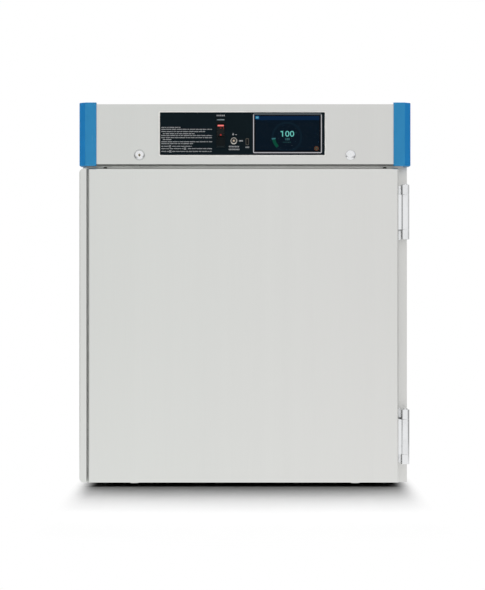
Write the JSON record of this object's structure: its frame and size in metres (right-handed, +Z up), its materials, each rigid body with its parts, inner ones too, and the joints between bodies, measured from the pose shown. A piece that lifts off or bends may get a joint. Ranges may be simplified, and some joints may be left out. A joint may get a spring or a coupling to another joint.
{
  "type": "warming cabinet",
  "caption": "Bench-top forced-air warming cabinet with one hinged steel door, wire shelves and a control housing with touch screen and corner bumpers.",
  "frame": {"origin": "under the middle of the cabinet, on the surface that its feet stand on", "axes": "+Z up, the door faces -Y, +X to the right seen from the front"},
  "size_m": [0.77, 0.673, 0.893],
  "materials": {
    "stainless": "vertical brushed satin",
    "stainless_inner": "satin",
    "stainless_wire": "bright drawn wire",
    "galvanised": "bare galvanised sheet",
    "chrome": "bright",
    "steel_fasteners": "plain",
    "blue_bumper": "satin moulded",
    "black_overlay": "fine matt film",
    "black_plastic": "moulded",
    "rocker_plastic": "gloss moulded",
    "screen_glass": "clear touch glass",
    "display": "lit panel",
    "insulation": "glass wool",
    "gasket_rubber": "soft matt grey",
    "circuit_board": "lacquered",
    "aluminium": "plain",
    "motor_paint": "satin",
    "heater_sheath": "heat-darkened",
    "bush_nylon": "plain"
  },
  "bodies": {
    "cabinet": {"side_panel_left": "stainless", "side_panel_right": "stainless", "rear_panel": "stainless", "base_pan": "galvanised", "front_frame": "stainless", "foot_nuts": "galvanised", "chamber_liner": "stainless_inner", "insulation_wrap": "insulation", "insulation_rear": "insulation", "shelf_standards": "stainless_inner", "shelf_clips": "stainless_wire", "shelf_lower": "stainless_wire", "shelf_upper": "stainless_wire", "air_baffle": "stainless_inner", "blower_motor": "motor_paint", "heater_ring": "heater_sheath", "air_probe": "heater_sheath", "limit_thermostat": "motor_paint", "header_front": "stainless", "header_base": "stainless", "header_cover": "stainless", "corner_bumper_left": "blue_bumper", "corner_bumper_right": "blue_bumper", "control_overlay": "black_overlay", "screen_bezel": "black_plastic", "screen_glass": "screen_glass", "display_module": "display", "power_switch_body": "black_plastic", "key_switch_body": "chrome", "usb_port": "black_plastic", "door_lock_body": "chrome", "door_lock_nut": "steel_fasteners", "hole_plug": "chrome", "control_board": "circuit_board", "power_supply": "aluminium", "heater_relay": "aluminium", "terminal_block": "black_plastic", "power_inlet": "black_plastic", "hinge_frame_leaves": "chrome", "hinge_pins": "chrome", "hinge_screws_frame": "steel_fasteners", "cover_screws": "steel_fasteners"},
    "door": {"door_outer_pan": "stainless", "door_inner_pan": "stainless_inner", "door_insulation": "insulation", "door_gasket": "gasket_rubber", "door_pull": "stainless", "door_edge_plugs": "black_plastic", "hinge_barrels": "chrome", "hinge_bushes": "bush_nylon", "hinge_screws_door": "steel_fasteners"},
    "power_rocker": {"power_rocker": "rocker_plastic"},
    "key_switch": {"key_switch_plug": "chrome"},
    "door_lock": {"door_lock_plug": "chrome", "door_lock_cam": "steel_fasteners"},
    "fan": {"fan_impeller": "aluminium"},
    "foot_front_left": {"foot_front_left": "steel_fasteners"},
    "foot_front_right": {"foot_front_right": "steel_fasteners"},
    "foot_rear_left": {"foot_rear_left": "steel_fasteners"},
    "foot_rear_right": {"foot_rear_right": "steel_fasteners"}
  },
  "joints": [
    {"name": "door_swing", "type": "hinge", "parent": "cabinet", "child": "door", "pos_m": [0.37325, -0.316, 0.375], "axis": [0, 0, 1], "range_deg": [0, 180]},
    {"name": "power_rocker_tip", "type": "hinge", "parent": "cabinet", "child": "power_rocker", "pos_m": [-0.0565, -0.3303, 0.829], "axis": [1, 0, 0], "range_deg": [0, 16]},
    {"name": "key_switch_turn", "type": "hinge", "parent": "cabinet", "child": "key_switch", "pos_m": [-0.026, -0.3333, 0.804], "axis": [0, 1, 0], "range_deg": [0, 90]},
    {"name": "door_lock_turn", "type": "hinge", "parent": "cabinet", "child": "door_lock", "pos_m": [-0.245, -0.3325, 0.771], "axis": [0, 1, 0], "range_deg": [0, 90]},
    {"name": "fan_spin", "type": "hinge", "parent": "cabinet", "child": "fan", "pos_m": [0, 0.227, 0.375], "axis": [0, 1, 0], "continuous": true},
    {"name": "foot_front_left_turn", "type": "hinge", "parent": "cabinet", "child": "foot_front_left", "pos_m": [-0.262, -0.216, 0.006], "axis": [0, 0, 1], "continuous": true},
    {"name": "foot_front_right_turn", "type": "hinge", "parent": "cabinet", "child": "foot_front_right", "pos_m": [0.262, -0.216, 0.006], "axis": [0, 0, 1], "continuous": true},
    {"name": "foot_rear_left_turn", "type": "hinge", "parent": "cabinet", "child": "foot_rear_left", "pos_m": [-0.262, 0.2845, 0.006], "axis": [0, 0, 1], "continuous": true},
    {"name": "foot_rear_right_turn", "type": "hinge", "parent": "cabinet", "child": "foot_rear_right", "pos_m": [0.262, 0.2845, 0.006], "axis": [0, 0, 1], "continuous": true}
  ]
}
